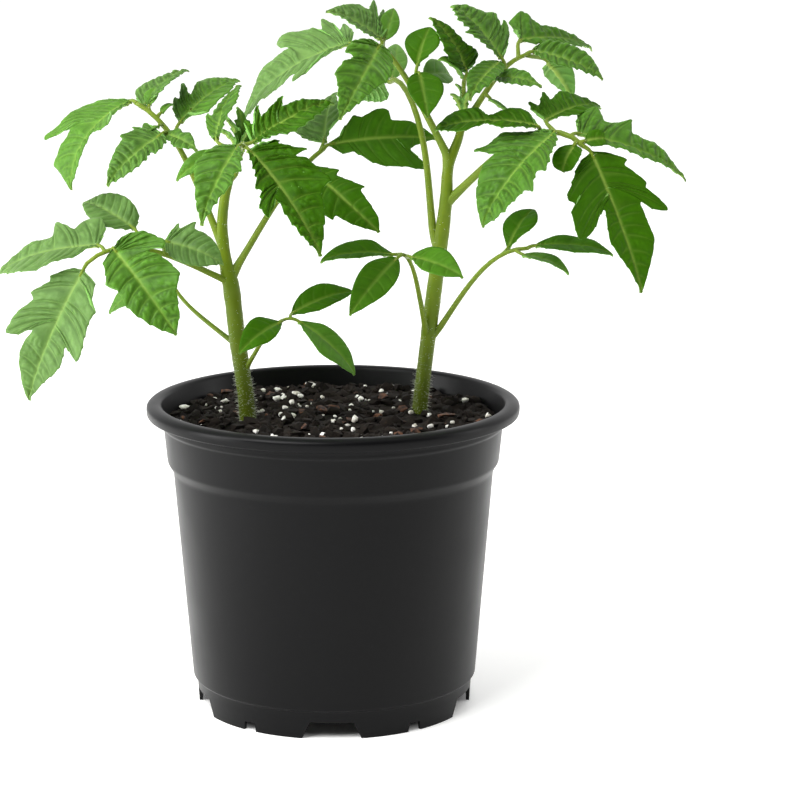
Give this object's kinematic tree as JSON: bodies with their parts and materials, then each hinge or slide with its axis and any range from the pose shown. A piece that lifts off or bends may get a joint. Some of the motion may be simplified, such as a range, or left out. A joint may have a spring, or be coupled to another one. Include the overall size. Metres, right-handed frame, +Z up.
{
  "type": "potted tomato plant",
  "caption": "Young tomato seedlings with lobed compound leaves standing in moist dark soil in a round black plastic nursery pot with a rolled lip and notched foot",
  "frame": {"origin": "centre of the bounding box's bottom, which is within two millimetres of the centre of the pot's foot ring on the surface it stands on", "axes": "+Z up, +X to the viewer's right, -Y towards the viewer and the pot's front notch"},
  "size_m": [0.2698, 0.1509, 0.2844],
  "materials": {
    "pot_plastic": "satin black polypropylene",
    "soil": "moist dark potting mix with white perlite and bark crumbs",
    "stem_green": "smooth yellow-green stem skin with fine white hairs",
    "leaf_stalk_green": "yellow-green leaf stalk",
    "leaf_green": "velvety mid-green leaf with paler veins"
  },
  "bodies": {
    "root": {"pot": "pot_plastic", "soil": "soil", "stem_left": "stem_green", "stem_right": "stem_green", "left_leaf_1_back": "leaf_green", "left_leaf_1_end": "leaf_green", "left_leaf_1_front": "leaf_green", "left_leaf_1_stalk": "leaf_stalk_green", "left_leaf_2_end": "leaf_green", "left_leaf_2_stalk": "leaf_stalk_green", "left_leaf_3_back": "leaf_green", "left_leaf_3_end": "leaf_green", "left_leaf_3_front": "leaf_green", "left_leaf_3_inner": "leaf_green", "left_leaf_3_outer": "leaf_green", "left_leaf_3_stalk": "leaf_stalk_green", "left_leaf_4_back": "leaf_green", "left_leaf_4_end": "leaf_green", "left_leaf_4_front": "leaf_green", "left_leaf_4_stalk": "leaf_stalk_green", "left_leaf_5_end": "leaf_green", "left_leaf_5_inner": "leaf_green", "left_leaf_5_lower": "leaf_green", "left_leaf_5_stalk": "leaf_stalk_green", "left_leaf_5_upper": "leaf_green", "left_leaf_6_big": "leaf_green", "left_leaf_6_front": "leaf_green", "left_leaf_6_right": "leaf_green", "left_leaf_6_stalk": "leaf_stalk_green", "left_leaf_6_up": "leaf_green", "right_leaf_1_left": "leaf_green", "right_leaf_1_low": "leaf_green", "right_leaf_1_right": "leaf_green", "right_leaf_1_stalk": "leaf_stalk_green", "right_leaf_2_end": "leaf_green", "right_leaf_2_low": "leaf_green", "right_leaf_2_stalk": "leaf_stalk_green", "right_leaf_2_up": "leaf_green", "right_leaf_3_end": "leaf_green", "right_leaf_3_stalk": "leaf_stalk_green", "right_leaf_4_back": "leaf_green", "right_leaf_4_big": "leaf_green", "right_leaf_4_end": "leaf_green", "right_leaf_4_far": "leaf_green", "right_leaf_4_inner": "leaf_green", "right_leaf_4_stalk": "leaf_stalk_green", "right_leaf_5_front": "leaf_green", "right_leaf_5_low_droop": "leaf_green", "right_leaf_5_low_up": "leaf_green", "right_leaf_5_out": "leaf_green", "right_leaf_5_stalk": "leaf_stalk_green", "right_leaf_5_top": "leaf_green", "right_leaf_6_back": "leaf_green", "right_leaf_6_end": "leaf_green", "right_leaf_6_front": "leaf_green", "right_leaf_6_low": "leaf_green", "right_leaf_6_stalk": "leaf_stalk_green", "right_leaf_6_top": "leaf_green", "right_leaf_7_stalk": "leaf_stalk_green", "right_leaf_7_up": "leaf_green"}
  },
  "joints": []
}
